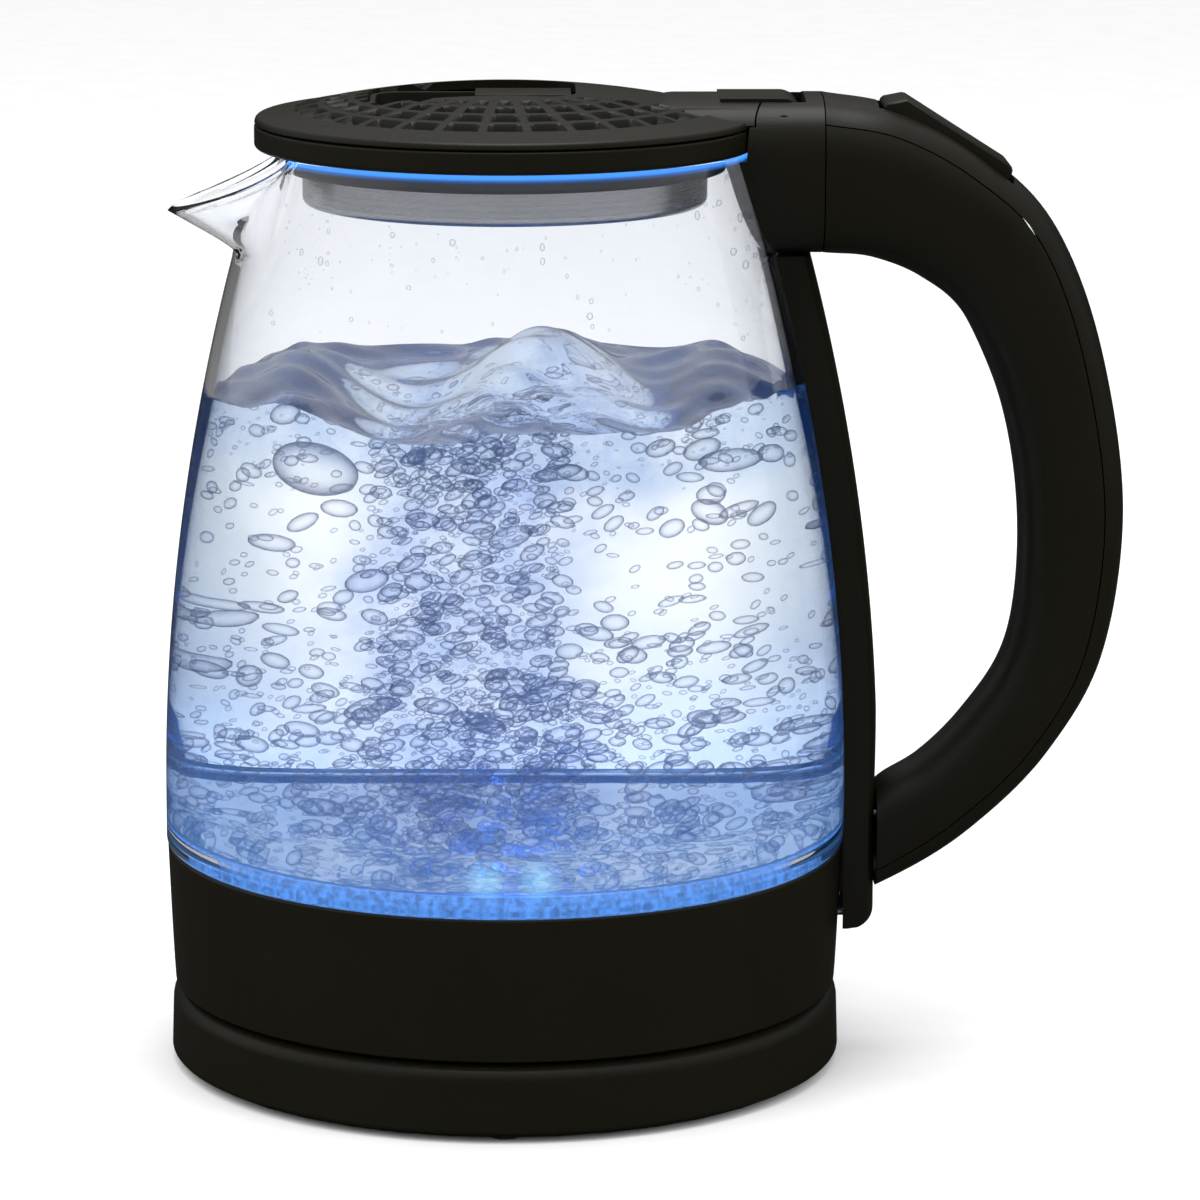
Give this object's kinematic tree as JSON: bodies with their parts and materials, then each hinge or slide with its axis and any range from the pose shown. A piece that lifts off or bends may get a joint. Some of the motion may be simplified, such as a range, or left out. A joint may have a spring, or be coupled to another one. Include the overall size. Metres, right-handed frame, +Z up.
{
  "type": "electric kettle",
  "caption": "Cordless glass electric kettle on a round power base, with a hinged lid, a loop handle with a rocker switch, and a light ring at the foot of the jar.",
  "frame": {"origin": "on the table, under the middle of the kettle's footprint from the jar's side to the outside of the grip", "axes": "+Z up along the kettle's axis, +X towards the handle, -X towards the spout, +Y to the back where the cord goes in"},
  "size_m": [0.2282, 0.1625, 0.2328],
  "materials": {
    "black_plastic": "satin moulded black with a faint olive cast",
    "dark_plastic": "matt moulded black",
    "clear_glass": "clear polished borosilicate",
    "steel": "satin",
    "aluminium": "as rolled",
    "brass": "plain",
    "rubber": "matt",
    "silicone": "translucent matt",
    "light_guide": "clear, lit blue",
    "board": "solder mask",
    "light": "clear lens, lit blue",
    "wire": "sleeved"
  },
  "bodies": {
    "power_base": {"base_top_shell": "black_plastic", "base_bottom_plate": "black_plastic", "base_connector": "dark_plastic", "base_earth_contact": "brass", "base_line_contact": "brass", "base_neutral_contact": "brass", "cord_inlet_bush": "rubber", "foot_1": "rubber", "foot_2": "rubber", "foot_3": "rubber", "foot_4": "rubber", "base_screw_1": "steel", "base_screw_2": "steel", "base_screw_3": "steel"},
    "coupler": {"coupler_body": "dark_plastic", "coupler_earth_pin": "brass", "coupler_line_ring": "brass", "coupler_neutral_ring": "brass"},
    "kettle": {"glass_jar": "clear_glass", "lower_shell": "black_plastic", "bottom_cover": "dark_plastic", "bottom_screw_1": "steel", "bottom_screw_2": "steel", "bottom_screw_3": "steel", "heater_plate": "steel", "heat_spreader": "aluminium", "heating_element": "steel", "jar_seal": "silicone", "light_ring": "light_guide", "light_board_1": "board", "light_board_2": "board", "light_1": "light", "light_2": "light", "light_3": "light", "light_4": "light", "control_block": "dark_plastic", "dry_boil_disc": "steel", "collar_ring": "black_plastic", "hinge_bracket": "black_plastic", "lid_hinge_pin": "steel", "handle_body": "black_plastic", "handle_cover": "black_plastic", "handle_spine": "black_plastic", "handle_screw_1": "steel", "handle_screw_2": "steel", "spine_screw_1": "steel", "spine_screw_2": "steel", "switch_housing": "dark_plastic", "rocker_pin": "steel", "steam_disc": "steel", "switch_wires": "wire"},
    "lid": {"lid_cover": "black_plastic", "lid_grip": "black_plastic", "lid_inner": "dark_plastic", "lid_steel_cup": "steel", "lid_gasket": "silicone", "lid_screw_1": "steel", "lid_screw_2": "steel"},
    "rocker": {"switch_rocker": "black_plastic"}
  },
  "joints": [
    {"name": "kettle_lift", "type": "slide", "parent": "power_base", "child": "coupler", "axis": [0, 0, 1], "range_m": [0, 0.08]},
    {"name": "kettle_turn", "type": "hinge", "parent": "coupler", "child": "kettle", "pos_m": [-0.0327, 0, 0.019], "axis": [0, 0, 1], "continuous": true},
    {"name": "lid_hinge", "type": "hinge", "parent": "kettle", "child": "lid", "pos_m": [0.0318, 0, 0.2264], "axis": [0, 1, 0], "range_deg": [0, 80]},
    {"name": "rocker_press", "type": "hinge", "parent": "kettle", "child": "rocker", "pos_m": [0.06781, 0, 0.21617], "axis": [0, 1, 0], "range_deg": [0, 8]}
  ]
}
